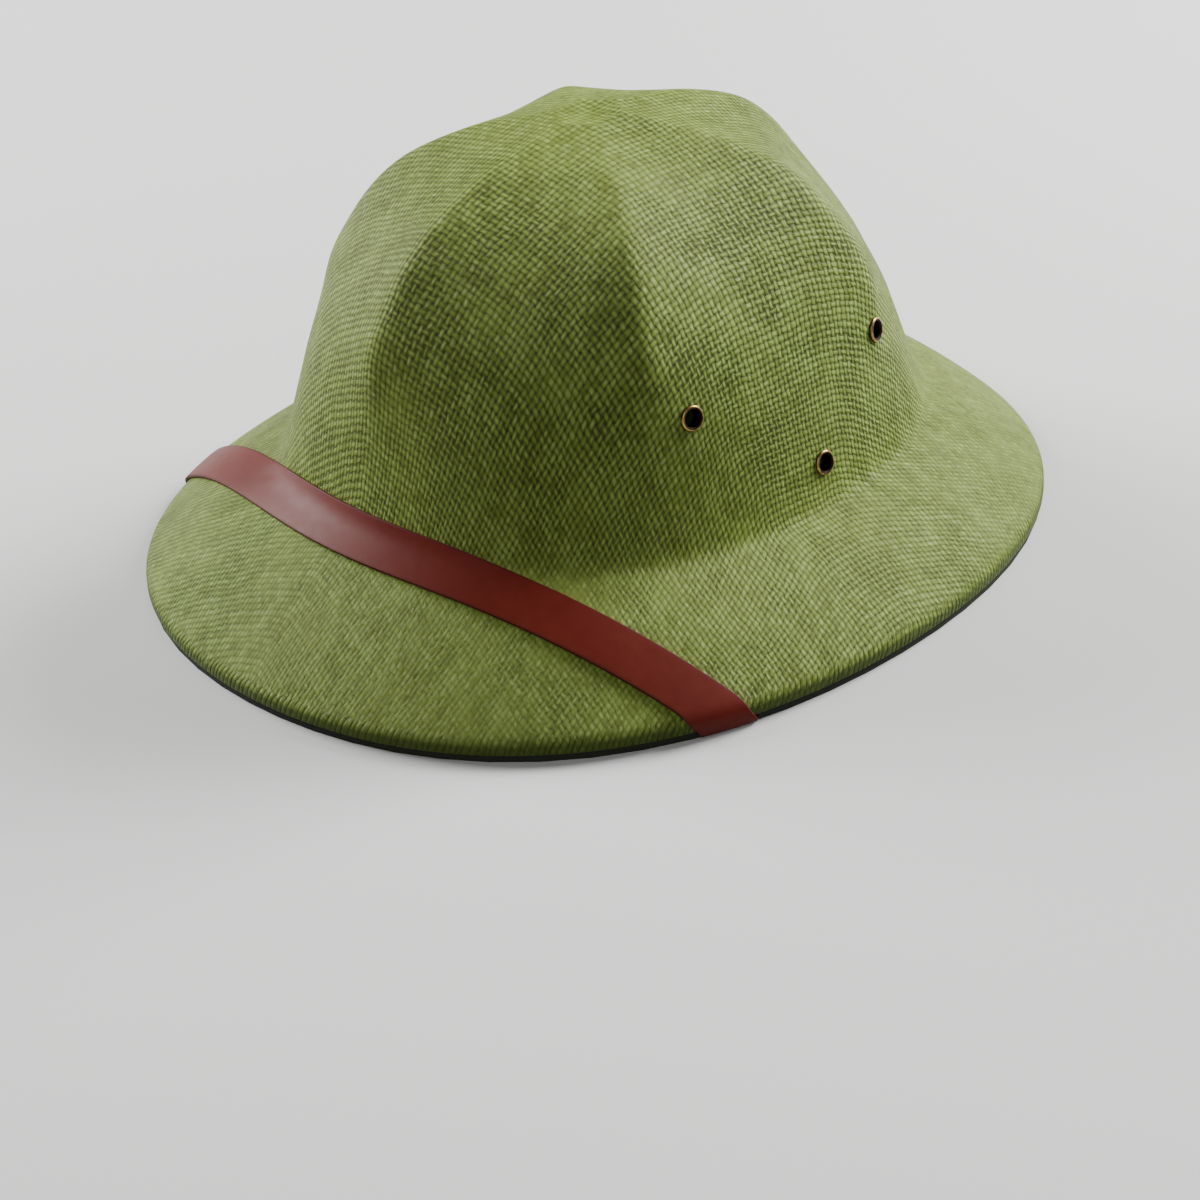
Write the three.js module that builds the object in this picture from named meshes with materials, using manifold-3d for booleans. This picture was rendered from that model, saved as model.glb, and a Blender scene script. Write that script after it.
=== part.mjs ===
// A pith helmet of woven straw: one moulded shell of crown and brim, a dark welt under its rim,
// a leather strap across the front and three brass eyelets on each side. Millimetres, +Z up.
// The front looks along -Y, the wearer's left is +X, and the rim rests on the plane z = 0.
// "turn" is the angle around the hat: 0 at the front, a quarter turn at the wearer's left.

import * as THREE from "three";
import { mergeVertices } from "three/addons/utils/BufferGeometryUtils.js";
import Module from "manifold-3d";

// Brim
const brimLength = 335;
const brimWidth = 289;
const brimSquareness = 0.034;
const brimBulge = 2.4;

// Crown
const crownFootLength = 237;
const crownFootWidth = 199;
const crownSquareness = 0.049;
const crownSetback = 5;
const crownLean = 1.5;
const footHeightFront = 46.5;
const footHeightSide = 35.5;
const footHeightBack = 41;
const footFillet = 7;
const topHeight = 158;
const topDimple = 1;
const ridgeCount = 6;
const ridgeSoftness = 0.06;
const ridgeCrispness = 0.6;

// Straw wall and the thick folded rim
const wall = 2;
const hemWidth = 5;
const faceHeight = 2.6;
const shoulderHeight = 2;
const shoulderLength = 3.5;
const edgeRound = 0.6;

// Gap that pieces keep from each other
const fitGap = 0.3;

// Leather strap
const strapWidth = 17.5;
const strapThickness = 1.4;
const strapStandoff = 5;
const strapEndTurn = THREE.MathUtils.degToRad(62);
const strapBow = 1.7;
const strapFloorGap = 0.2;
const strapBend = 1.2;
const strapTuck = 9;

// Welt under the rim, whose web lies between the rim and the strap's tucked ends
const weltWeb = 0.5;
const weltWidth = 3.6;
const weltInset = 0.8;

// Brass eyelets. A place's height is its share of the way from the crown's foot to its top.
const eyeletHole = 5.5;
const eyeletFlange = 9.4;
const eyeletBarrel = 0.6;
const eyeletRoll = 0.9;
const eyeletBack = 0.6;
const eyeletSeat = 0.7;
const eyeletPlaces = [
  { name: "front", turn: 67.5, height: 0.388 },
  { name: "low", turn: 95, height: 0.118 },
  { name: "back", turn: 118, height: 0.361 },
];

// Each row is one level of the crown. height is its share of the way from foot to top, reach its
// share of the foot's width, and fold how far the panels between the ridges are flattened.
// At fold 1 a panel is flat, and above 1 it is hollow.
const crownLevels = [
  { height: 0, reach: 1, fold: 0 },
  { height: 0.12, reach: 0.965, fold: 0 },
  { height: 0.3, reach: 0.932, fold: 0.13 },
  { height: 0.5, reach: 0.908, fold: 0.63 },
  { height: 0.68, reach: 0.812, fold: 0.93 },
  { height: 0.82, reach: 0.677, fold: 1.26 },
  { height: 0.93, reach: 0.44, fold: 1.43 },
  { height: 1, reach: 0.121, fold: 1.43 },
];

// The strap's way over the rim, from the brim to its tucked end
const wrapStations = [
  { part: "shoulder", share: 0.25 },
  { part: "shoulder", share: 0.5 },
  { part: "shoulder", share: 0.75 },
  { part: "shoulder", share: 1 },
  { part: "turn", share: 0 },
  { part: "turn", share: 0.35 },
  { part: "turn", share: 0.65 },
  { part: "turn", share: 1 },
  { part: "tuck", share: 1 },
];

// How finely the solids are faceted
const columns = 60;
const brimRows = 4;
const filletRows = 4;
const crownRows = 13;
const topRing = 0.5;
const shoulderRows = 3;
const eyeletSides = 14;
const eyeletRollSteps = 4;
const strapStations = 14;
const strapLanes = 5;

// Fine steps of the surface work. The search for a place on the skin begins on the brim.
const turnStep = 1e-4;
const headingStep = 0.5;
const searchShare = 0.7;
const searchPasses = 12;
const halvings = 30;
const laneSteps = 6;
const mergeDistance = 1e-4;
const cutMargin = 1;

// Levels that follow from the sizes above
const strapLift = fitGap + strapThickness;
const tuckRoof = strapFloorGap + strapLift;
const weltHeight = tuckRoof + weltWeb;
const rimLevel = weltHeight + fitGap;
const faceTop = rimLevel + faceHeight;
const cornerLevel = faceTop + shoulderHeight;

const up = new THREE.Vector3(0, 0, 1);

// A smooth curve through one column of a table that never swings past its rows
function smoothColumn(rows, input, output) {
  const x = rows.map((row) => row[input]);
  const y = rows.map((row) => row[output]);
  const last = x.length - 1;
  const span = x.slice(1).map((value, i) => value - x[i]);
  const rise = y.slice(1).map((value, i) => (value - y[i]) / span[i]);
  const slope = x.map((_, i) => {
    if (i === 0) return rise[0];
    if (i === last) return rise[last - 1];
    const agree = rise[i - 1] * rise[i] > 0;
    return agree ? (2 * rise[i - 1] * rise[i]) / (rise[i - 1] + rise[i]) : 0;
  });
  return (at) => {
    let i = 0;
    while (i < last - 1 && at > x[i + 1]) i += 1;
    const s = (at - x[i]) / span[i];
    const s2 = s * s;
    const s3 = s2 * s;
    const ends = y[i] * (2 * s3 - 3 * s2 + 1) + y[i + 1] * (3 * s2 - 2 * s3);
    const slopes = slope[i] * (s3 - 2 * s2 + s) + slope[i + 1] * (s3 - s2);
    return ends + slopes * span[i];
  };
}

const crownReach = smoothColumn(crownLevels, "height", "reach");
const crownFold = smoothColumn(crownLevels, "height", "fold");

// An ellipse that swells a little towards its four corners
function oval(turn, width, length, squareness) {
  const swell = 1 + (squareness * (1 - Math.cos(4 * turn))) / 2;
  const x = (width / 2) * Math.sin(turn) * swell;
  const y = (-length / 2) * Math.cos(turn) * swell;
  return new THREE.Vector3(x, y, 0);
}

// The line where the crown's wall would meet the brim without its fillet
function crownFoot(turn) {
  const foot = oval(turn, crownFootWidth, crownFootLength, crownSquareness);
  const ahead = Math.cos(turn);
  const endHeight = ahead > 0 ? footHeightFront : footHeightBack;
  foot.y += crownSetback;
  foot.z = footHeightSide + (endHeight - footHeightSide) * ahead * ahead;
  return foot;
}

// How much of its reach the crown keeps between two ridges
function panelReach(turn, fold) {
  const half = Math.PI / ridgeCount;
  const phase = THREE.MathUtils.euclideanModulo(turn + half, 2 * half) - half;
  const rounded = Math.hypot(phase, ridgeSoftness) - ridgeCrispness * ridgeSoftness;
  const fromRidge = Math.min(rounded, half);
  return 1 - fold * (1 - Math.cos(half) / Math.cos(half - fromRidge));
}

// The crown's outer face. height is a share of the way from its foot to its top.
function crownPoint(turn, height) {
  const reach = crownReach(height) * panelReach(turn, crownFold(height));
  const squareness = crownSquareness * (1 - height);
  const point = oval(turn, crownFootWidth * reach, crownFootLength * reach, squareness);
  point.y += crownSetback - crownLean * height;
  point.z = THREE.MathUtils.lerp(crownFoot(turn).z, topHeight, height);
  return point;
}

// The crown's centre, where the ridges meet in a shallow dimple
function topPoint(turn, share) {
  const centre = new THREE.Vector3(0, crownSetback - crownLean, topHeight - topDimple);
  const edge = crownPoint(turn, 1);
  const point = centre.clone().lerp(edge, share);
  point.z = centre.z + topDimple * share * share;
  return point;
}

// The rim's sharp corner, before its shoulder is rounded
function rimCorner(turn) {
  return oval(turn, brimWidth, brimLength, brimSquareness).setZ(cornerLevel);
}

function brimPoint(turn, share) {
  const point = rimCorner(turn).lerp(crownFoot(turn), share);
  point.z += brimBulge * 4 * share * (1 - share);
  return point;
}

function brimRun(turn) {
  return rimCorner(turn).distanceTo(crownFoot(turn));
}

function brimSlope(turn) {
  const corner = rimCorner(turn);
  const foot = crownFoot(turn);
  return Math.atan2(foot.z - corner.z, Math.hypot(foot.x - corner.x, foot.y - corner.y));
}

function bend(from, corner, to, share) {
  return new THREE.QuadraticBezierCurve3(from, corner, to).getPoint(share);
}

// The outer face from the rim's corner (share 0) over the crown's foot (share 1) and up the crown,
// at one speed, with a fillet at the foot
function skinPoint(turn, share) {
  const run = brimRun(turn);
  const fillet = footFillet / run;
  const climb = run / (topHeight - crownFoot(turn).z);
  if (share <= 1 - fillet) return brimPoint(turn, share);
  if (share >= 1 + fillet) return crownPoint(turn, (share - 1) * climb);
  const low = brimPoint(turn, 1 - fillet);
  const high = crownPoint(turn, fillet * climb);
  return bend(low, crownFoot(turn), high, (share - 1 + fillet) / (2 * fillet));
}

// A surface's point, its two directions and its outward normal at one place
function frameAt(surface, turn, share) {
  const rate = 1 / (2 * turnStep);
  const point = surface(turn, share);
  const before = surface(turn - turnStep, share);
  const below = surface(turn, share - turnStep);
  const byTurn = surface(turn + turnStep, share).sub(before).multiplyScalar(rate);
  const byShare = surface(turn, share + turnStep).sub(below).multiplyScalar(rate);
  const normal = new THREE.Vector3().crossVectors(byTurn, byShare).normalize();
  return { point, byTurn, byShare, normal };
}

// Out from the crown's foot to the rim, seen from above
function outward(turn) {
  return rimCorner(turn).sub(crownFoot(turn)).setZ(0).normalize();
}

function rimPoint(turn, inset, level) {
  return rimCorner(turn).addScaledVector(outward(turn), -inset).setZ(level);
}

function shoulderShare(turn) {
  return shoulderLength / brimRun(turn);
}

// The rounded shoulder between the brim's slope (share 0) and the rim's upright face (share 1),
// moved out from the straw by a lift
function shoulderPoint(turn, share, lift = 0) {
  const start = frameAt(brimPoint, turn, shoulderShare(turn));
  const out = outward(turn);
  const lean = start.normal.dot(out);
  const rise = Math.sqrt((1 - lean) / (1 + lean));
  const from = start.point.addScaledVector(start.normal, lift);
  const corner = rimCorner(turn).addScaledVector(out, lift).addScaledVector(up, lift * rise);
  const to = rimPoint(turn, -lift, faceTop);
  return bend(from, corner, to, share);
}

// A closed solid from its faces' corner points
function solidFrom(points, faces) {
  const geometry = new THREE.BufferGeometry();
  const numbers = points.flatMap((point) => point.toArray());
  geometry.setAttribute("position", new THREE.Float32BufferAttribute(numbers, 3));
  geometry.setIndex(faces);
  return geometry;
}

// A solid of rings of points, from a first pole down the outside and up the inside to a last pole
function ringSolid(firstPole, rings, lastPole) {
  const points = [firstPole, ...rings.flat(), lastPole];
  const faces = [];
  const at = (ring, column) => 1 + ring * columns + (column % columns);
  for (let column = 0; column < columns; column += 1) {
    faces.push(0, at(0, column), at(0, column + 1));
    for (let ring = 0; ring < rings.length - 1; ring += 1) {
      faces.push(at(ring, column), at(ring + 1, column), at(ring + 1, column + 1));
      faces.push(at(ring, column), at(ring + 1, column + 1), at(ring, column + 1));
    }
    faces.push(points.length - 1, at(rings.length - 1, column + 1), at(rings.length - 1, column));
  }
  return solidFrom(points, faces);
}

// A closed hoop whose sections are given all the way round
function hoopSolid(sections) {
  const size = sections[0].length;
  const faces = [];
  const at = (section, corner) => (section % sections.length) * size + (corner % size);
  for (let section = 0; section < sections.length; section += 1) {
    for (let corner = 0; corner < size; corner += 1) {
      faces.push(at(section, corner), at(section + 1, corner), at(section + 1, corner + 1));
      faces.push(at(section, corner), at(section + 1, corner + 1), at(section, corner + 1));
    }
  }
  return solidFrom(sections.flat(), faces);
}

// A band between two grids of points, one above the other
function bandSolid(top, bottom) {
  const last = top.length - 1;
  const lanes = top[0].length;
  const section = (i) => [...top[i], ...bottom[i].toReversed()];
  const size = 2 * lanes;
  const faces = [];
  for (let i = 0; i < last; i += 1) {
    for (let k = 0; k < size; k += 1) {
      const next = (k + 1) % size;
      faces.push(i * size + k, (i + 1) * size + k, (i + 1) * size + next);
      faces.push(i * size + k, (i + 1) * size + next, i * size + next);
    }
  }
  for (let k = 0; k < lanes - 1; k += 1) {
    const below = size - 1 - k;
    faces.push(k, k + 1, below - 1, k, below - 1, below);
    const end = last * size;
    faces.push(end + k, end + below - 1, end + k + 1, end + k, end + below, end + below - 1);
  }
  return solidFrom(top.flatMap((_, i) => section(i)), faces);
}

const wasm = await Module();
wasm.setup();

function toManifold(geometry) {
  const bare = geometry.clone();
  bare.deleteAttribute("normal");
  bare.deleteAttribute("uv");
  const merged = mergeVertices(bare, mergeDistance);
  const vertProperties = new Float32Array(merged.attributes.position.array);
  const triVerts = new Uint32Array(merged.index.array);
  return new wasm.Manifold(new wasm.Mesh({ numProp: 3, vertProperties, triVerts }));
}

function toGeometry(manifold) {
  const mesh = manifold.getMesh();
  const positions = new Float32Array(mesh.vertProperties);
  const geometry = new THREE.BufferGeometry();
  geometry.setAttribute("position", new THREE.BufferAttribute(positions, 3));
  geometry.setIndex(new THREE.BufferAttribute(new Uint32Array(mesh.triVerts), 1));
  return geometry;
}

function cutAway(geometry, tools) {
  const solid = tools.reduce((left, tool) => left.subtract(toManifold(tool)), toManifold(geometry));
  return toGeometry(solid);
}

function aroundHat(make) {
  return Array.from({ length: columns }, (_, i) => make((2 * Math.PI * i) / columns));
}

// Shares of the skin at which its rings lie, from the rim's shoulder up to the crown's top
function skinShares(turn) {
  const run = brimRun(turn);
  const climb = run / (topHeight - crownFoot(turn).z);
  const fillet = footFillet / run;
  const start = shoulderShare(turn);
  const hem = start + hemWidth / run;
  const shares = [start];
  for (let i = 0; i < brimRows; i += 1) {
    shares.push(hem + ((1 - fillet - hem) * i) / brimRows);
  }
  for (let i = 0; i <= filletRows; i += 1) {
    shares.push(1 - fillet + (2 * fillet * i) / filletRows);
  }
  const low = fillet * climb;
  for (let i = 1; i <= crownRows; i += 1) {
    const left = 1 - i / crownRows;
    shares.push(1 + (low + (1 - low) * (1 - left * left)) / climb);
  }
  return shares;
}

// The inside face: each ring of the outside moved in by the wall along its own normal
function innerRings(pole, rings) {
  return rings.map((ring, i) => ring.map((point, column) => {
    const above = i === 0 ? pole : rings[i - 1][column];
    const below = i === rings.length - 1 ? point : rings[i + 1][column];
    const before = ring[(column + columns - 1) % columns];
    const after = ring[(column + 1) % columns];
    const down = below.clone().sub(above);
    const around = after.clone().sub(before);
    const normal = down.cross(around).normalize();
    return point.clone().addScaledVector(normal, -wall);
  }));
}

// Crown and brim in one wall, open below, with a thick folded rim
function shellGeometry(drills) {
  const top = topPoint(0, 0);
  const rings = [aroundHat((turn) => topPoint(turn, topRing))];
  for (let i = skinShares(0).length - 1; i >= 0; i -= 1) {
    rings.push(aroundHat((turn) => skinPoint(turn, skinShares(turn)[i])));
  }
  const inner = innerRings(top, rings.slice(0, -1));
  for (let i = 1; i <= shoulderRows; i += 1) {
    rings.push(aroundHat((turn) => shoulderPoint(turn, i / shoulderRows)));
  }
  rings.push(aroundHat((turn) => rimPoint(turn, 0, rimLevel + edgeRound)));
  rings.push(aroundHat((turn) => rimPoint(turn, edgeRound, rimLevel)));
  rings.push(aroundHat((turn) => rimPoint(turn, hemWidth, rimLevel)));
  rings.push(...inner.toReversed());
  return cutAway(ringSolid(top, rings, top.clone().addScaledVector(up, -wall)), drills);
}

function weltGeometry(strapRoom) {
  const sections = aroundHat((turn) => [
    rimPoint(turn, weltInset, 0),
    rimPoint(turn, weltInset, weltHeight),
    rimPoint(turn, weltInset + weltWidth, weltHeight),
    rimPoint(turn, weltInset + weltWidth, 0),
  ]);
  return cutAway(hoopSolid(sections), [strapRoom]);
}

// The strap's middle line seen from above: it hugs the crown's front and runs straighter to the rim
function strapLine(x) {
  const end = brimPoint(strapEndTurn, shoulderShare(strapEndTurn));
  const front = crownFoot(0).y - strapStandoff * Math.cos(brimSlope(0));
  const bow = (strapBow * strapBow - 1) / 2;
  const reach = (strapBow * x) / end.x;
  return front + (end.y - front) * (Math.hypot(bow, reach) - bow);
}

// Where on the skin a place seen from above lies, found from a guess
function locate(x, y, guess) {
  const place = { ...guess };
  for (let pass = 0; pass < searchPasses; pass += 1) {
    const frame = frameAt(skinPoint, place.turn, place.share);
    const dx = x - frame.point.x;
    const dy = y - frame.point.y;
    const det = frame.byTurn.x * frame.byShare.y - frame.byTurn.y * frame.byShare.x;
    place.turn += (dx * frame.byShare.y - dy * frame.byShare.x) / det;
    place.share += (dy * frame.byTurn.x - dx * frame.byTurn.y) / det;
  }
  return place;
}

// A place on the skin at a distance from the strap's middle line, square to the line
function laneSpot(x, distance) {
  const guess = { turn: Math.atan2(x, brimLength / 2), share: searchShare };
  const start = locate(x, strapLine(x), guess);
  const next = locate(x + headingStep, strapLine(x + headingStep), start);
  const heading = skinPoint(next.turn, next.share).sub(skinPoint(start.turn, start.share)).normalize();
  const spot = { ...start };
  for (let i = 0; i < laneSteps; i += 1) {
    const frame = frameAt(skinPoint, spot.turn, spot.share);
    const move = frame.normal.clone().cross(heading).setLength(distance / laneSteps);
    const a = frame.byTurn.dot(frame.byTurn);
    const b = frame.byTurn.dot(frame.byShare);
    const c = frame.byShare.dot(frame.byShare);
    const p = move.dot(frame.byTurn);
    const q = move.dot(frame.byShare);
    spot.turn += (p * c - q * b) / (a * c - b * b);
    spot.share += (q * a - p * b) / (a * c - b * b);
  }
  return { ...spot, heading };
}

// How far along the middle line a lane reaches the rim's shoulder
function laneEnd(distance) {
  let near = 0;
  let far = brimWidth / 2;
  for (let pass = 0; pass < halvings; pass += 1) {
    const middle = (near + far) / 2;
    const spot = laneSpot(middle, distance);
    if (spot.share > shoulderShare(spot.turn)) near = middle;
    else far = middle;
  }
  return near;
}

// The way over the rim: shoulder, upright face, turn below the rim and the tucked end
function wrapPoint(turn, station, lift) {
  const { part, share } = station;
  if (part === "shoulder") return shoulderPoint(turn, share, lift);
  const from = rimPoint(turn, -lift, tuckRoof + strapBend);
  const corner = rimPoint(turn, -lift, tuckRoof - lift);
  const to = rimPoint(turn, strapBend, tuckRoof - lift);
  if (part === "turn") return bend(from, corner, to, share);
  return rimPoint(turn, strapTuck, tuckRoof - lift);
}

// One lane of the strap's left half, from the middle to its tucked end, as points at a lift
function strapLane(distance, lift) {
  const end = laneEnd(distance);
  const points = [];
  for (let i = 0; i <= strapStations; i += 1) {
    const spot = laneSpot((end * i) / strapStations, distance);
    const frame = frameAt(skinPoint, spot.turn, spot.share);
    points.push(frame.point.addScaledVector(frame.normal, lift));
  }
  const spot = laneSpot(end, distance);
  const frame = frameAt(brimPoint, spot.turn, spot.share);
  const along = frame.byTurn.clone().normalize();
  const down = along.clone().cross(frame.normal);
  const drift = spot.heading.dot(along) / spot.heading.dot(down) / frame.byTurn.length();
  let { turn } = spot;
  let before = shoulderPoint(turn, 0);
  for (const station of wrapStations) {
    turn += wrapPoint(turn, station, 0).distanceTo(before) * drift;
    before = wrapPoint(turn, station, 0);
    points.push(wrapPoint(turn, station, lift));
  }
  return points;
}

// The whole strap between two lifts over the skin, mirrored about the middle of the hat
function strapGeometry(width, lowLift, highLift) {
  const mirrored = (point) => new THREE.Vector3(-point.x, point.y, point.z);
  const grid = (lift) => {
    const lanes = [];
    for (let k = 0; k < strapLanes; k += 1) {
      lanes.push(strapLane(width * (k / (strapLanes - 1) - 1 / 2), lift));
    }
    const left = lanes[0].map((_, i) => lanes.map((lane) => lane[i]));
    const right = left.slice(1).map((row) => row.map(mirrored));
    return [...right.toReversed(), ...left];
  };
  return bandSolid(grid(highLift), grid(lowLift));
}

function eyeletFrame(place, side) {
  return frameAt(crownPoint, side * THREE.MathUtils.degToRad(place.turn), place.height);
}

function pointAlong(mesh, frame) {
  mesh.quaternion.setFromUnitVectors(new THREE.Vector3(0, 1, 0), frame.normal);
  mesh.position.copy(frame.point);
}

function eyeletDrill(frame) {
  const radius = eyeletHole / 2 + eyeletBarrel + fitGap;
  const length = 2 * wall + eyeletFlange;
  const drill = new THREE.Mesh(new THREE.CylinderGeometry(radius, radius, length, eyeletSides));
  pointAlong(drill, frame);
  drill.updateMatrix();
  return drill.geometry.applyMatrix4(drill.matrix);
}

// An eyelet's closed outline, turned about the Y axis: a rolled flange outside, a barrel through
// the wall and a thinner flange inside
function eyeletGeometry() {
  const hole = eyeletHole / 2;
  const barrel = hole + eyeletBarrel;
  const flange = eyeletFlange / 2;
  const backFlange = flange - eyeletBarrel;
  const outside = fitGap;
  const inside = -wall - eyeletSeat;
  const outline = [
    new THREE.Vector2(hole, inside - eyeletBack),
    new THREE.Vector2(backFlange, inside - eyeletBack),
    new THREE.Vector2(backFlange, inside),
    new THREE.Vector2(barrel, inside),
    new THREE.Vector2(barrel, outside),
  ];
  for (let i = 0; i <= eyeletRollSteps; i += 1) {
    const angle = (Math.PI * i) / eyeletRollSteps;
    const radius = (flange + hole) / 2 + ((flange - hole) / 2) * Math.cos(angle);
    outline.push(new THREE.Vector2(radius, outside + eyeletRoll * Math.sin(angle)));
  }
  outline.push(outline[0].clone());
  return new THREE.LatheGeometry(outline, eyeletSides);
}

const straw = { color: 0x829050, roughness: 0.85, metalness: 0 };
const leather = { color: 0x6b2a20, roughness: 0.45, metalness: 0 };
const welting = { color: 0x1a1d12, roughness: 0.9, metalness: 0 };
const brass = { color: 0x8c6a30, roughness: 0.35, metalness: 1 };

function piece(name, geometry, finish) {
  const mesh = new THREE.Mesh(geometry, new THREE.MeshStandardMaterial(finish));
  mesh.name = name;
  return mesh;
}

const eyelets = new THREE.Group();
const drills = [];
for (const [sideName, side] of [["left", 1], ["right", -1]]) {
  for (const place of eyeletPlaces) {
    const frame = eyeletFrame(place, side);
    const eyelet = piece(`eyelet_${sideName}_${place.name}`, eyeletGeometry(), brass);
    pointAlong(eyelet, frame);
    eyelets.add(eyelet);
    drills.push(eyeletDrill(frame));
  }
}

const strapRoom = strapGeometry(strapWidth + 2 * fitGap, 0, tuckRoof + cutMargin);
const hat = new THREE.Group();
hat.add(piece("woven_shell", shellGeometry(drills), straw));
hat.add(piece("edge_welt", weltGeometry(strapRoom), welting));
hat.add(piece("front_strap", strapGeometry(strapWidth, fitGap, strapLift), leather));
hat.add(eyelets);

export default hat;
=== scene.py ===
"""The looks of a pith helmet of woven straw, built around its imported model. All sizes are in metres.

The front looks along -Y and the wearer's left is +X. "turn" is the angle around the hat, 0 at the
front and a quarter turn at the wearer's left.
"""
import math
from functools import reduce

import bpy
import numpy as np
from bpy.props import FloatProperty, FloatVectorProperty, PointerProperty
from mathutils import Matrix, Vector
from mathutils.kdtree import KDTree


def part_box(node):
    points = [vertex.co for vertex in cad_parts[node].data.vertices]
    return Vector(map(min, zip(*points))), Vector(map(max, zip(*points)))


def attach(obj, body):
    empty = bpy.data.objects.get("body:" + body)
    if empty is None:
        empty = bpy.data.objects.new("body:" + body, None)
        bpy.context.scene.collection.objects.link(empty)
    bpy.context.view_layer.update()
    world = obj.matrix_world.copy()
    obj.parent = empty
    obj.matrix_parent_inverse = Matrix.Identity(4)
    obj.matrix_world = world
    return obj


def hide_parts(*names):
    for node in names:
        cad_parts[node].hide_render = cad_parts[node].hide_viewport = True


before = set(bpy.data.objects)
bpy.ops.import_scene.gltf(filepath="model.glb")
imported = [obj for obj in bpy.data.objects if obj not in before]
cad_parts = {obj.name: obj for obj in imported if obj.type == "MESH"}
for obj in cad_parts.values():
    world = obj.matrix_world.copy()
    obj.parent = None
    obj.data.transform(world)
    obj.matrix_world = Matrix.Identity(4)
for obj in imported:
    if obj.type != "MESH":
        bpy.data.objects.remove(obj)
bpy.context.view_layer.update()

bl_info = {
    "name": "Pith Helmet",
    "version": (1, 0, 0),
    "blender": (4, 5, 0),
    "location": "3D View > Sidebar > Pith Helmet",
    "description": "Builds a woven straw pith helmet with a leather strap and brass eyelets",
    "category": "Object",
}

EYELETS = sorted(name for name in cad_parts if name.startswith("eyelet_"))
SHELL_LOW, SHELL_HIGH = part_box("woven_shell")

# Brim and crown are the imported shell's, with a tighter fillet at the crown's foot and crisper ridges
BRIM_WIDTH = SHELL_HIGH.x - SHELL_LOW.x
BRIM_LENGTH = SHELL_HIGH.y - SHELL_LOW.y
BRIM_SQUARENESS = 0.034
BRIM_BULGE = 0.0024
FOOT_LENGTH = 0.237
FOOT_WIDTH = 0.199
CROWN_SQUARENESS = 0.049
CROWN_SETBACK = 0.005
CROWN_LEAN = 0.0015
FOOT_FRONT = 0.0465
FOOT_SIDE = 0.0355
FOOT_BACK = 0.041
FOOT_FILLET = 0.0038
TOP = SHELL_HIGH.z
TOP_DIMPLE = 0.001
RIDGE_COUNT = 6
RIDGE_SOFTNESS = 0.045
RIDGE_CRISPNESS = 0.6
RIM_LEVEL = SHELL_LOW.z
FACE_TOP = RIM_LEVEL + 0.0026
CORNER_LEVEL = FACE_TOP + 0.002
SHOULDER_LENGTH = 0.0035
EDGE_ROUND = 0.0006
HEM_WIDTH = 0.005

# Each row is one level of the crown. height is its share of the way from foot to top, reach its
# share of the foot's width, and fold how far the panels between the ridges are flattened.
CROWN_LEVELS = [
    {"height": 0, "reach": 1, "fold": 0},
    {"height": 0.12, "reach": 0.965, "fold": 0},
    {"height": 0.3, "reach": 0.932, "fold": 0.13},
    {"height": 0.5, "reach": 0.908, "fold": 0.63},
    {"height": 0.68, "reach": 0.812, "fold": 0.93},
    {"height": 0.82, "reach": 0.677, "fold": 1.26},
    {"height": 0.93, "reach": 0.44, "fold": 1.43},
    {"height": 1, "reach": 0.121, "fold": 1.43},
]

# How finely the straw is meshed
COLUMNS = 360
CAP_RINGS = 4
CROWN_RINGS = 60
FILLET_RINGS = 8
BRIM_RINGS = 26
SHOULDER_RINGS = 5
FACE_RINGS = 4
INNER_STEP = 3

# Yarns that wrap over the rim: their pitch, and how far they lean along it on their way down
RIB_PITCH = 0.0022
RIB_LEAN = 0.35

# The yarns' places are eased on a square grid. Gain and momentum steer each pass over it, and
# stiffness keeps the yarns from kinking.
YARN_GRID = 0.006
YARN_REACH = 0.27
YARN_PASSES = 400
YARN_GAIN = 0.15
YARN_MOMENTUM = 0.9
YARN_STIFFNESS = 0.02
YARN_FLATTEST = 0.02

# How finely the hat's outer face is tabled for that
TABLE_TURNS = 360
TABLE_STEP = 0.001

# How softly the yarns' heights pass into each other, in yarn heights
YARN_BLEND = 0.12

# Numbers that keep the weave's random draws apart
YARN_STRIDE = 7.31
GRAIN_STRIDE = 3.7
AXIS_STRIDE = 11.0
YARN_SEED = 5.0
FLOAT_SEED = 3.0
GLINT_SEED = 17.0

# The brim's straw is pressed smoothest at these turns. fall says how fast the weave comes back
# away from each, and PRESSED_LEAST how smooth it stays on the far side.
PRESSED = [{"turn": math.radians(20), "fall": 5}, {"turn": math.radians(140), "fall": 8}]
PRESSED_LEAST = 0.15
PRESSED_CROWN = 0.18
PRESSED_TOP = 0.35
TOP_RINGS = 40

# Points closer than this are merged, and after the drilling those a little further apart too
MERGE = 1e-6
DRILLED_MERGE = 5e-6

# Faces that meet at more than these angles form a corner, which is kept sharp or rounded
SMOOTH_CORNER = math.radians(50)
WELT_CORNER = math.radians(40)
STRAP_CORNER = math.radians(55)
WELT_ROUND = 0.0005

# How far in from its edges the strap is burnished, and how closely its edges are marked for that
BURNISH_REACH = 0.0016
BURNISH_STEP = 0.0005

# The eyelets' hole and flange are radii. Their brass is rubbed bright from a radius outwards.
HOLE = 0.003
FLANGE = 0.00455
ROLL_HEIGHT = 0.0009
BARREL_LENGTH = 0.0048
LIP = 0.0003
ROLL_STEPS = 10
SPIN_STEPS = 40
RUBBED_FROM = 0.0034
RUBBED_WIDTH = 0.001
DRILL_RADIUS = 0.0036
DRILL_DEPTH = 0.016

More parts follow.
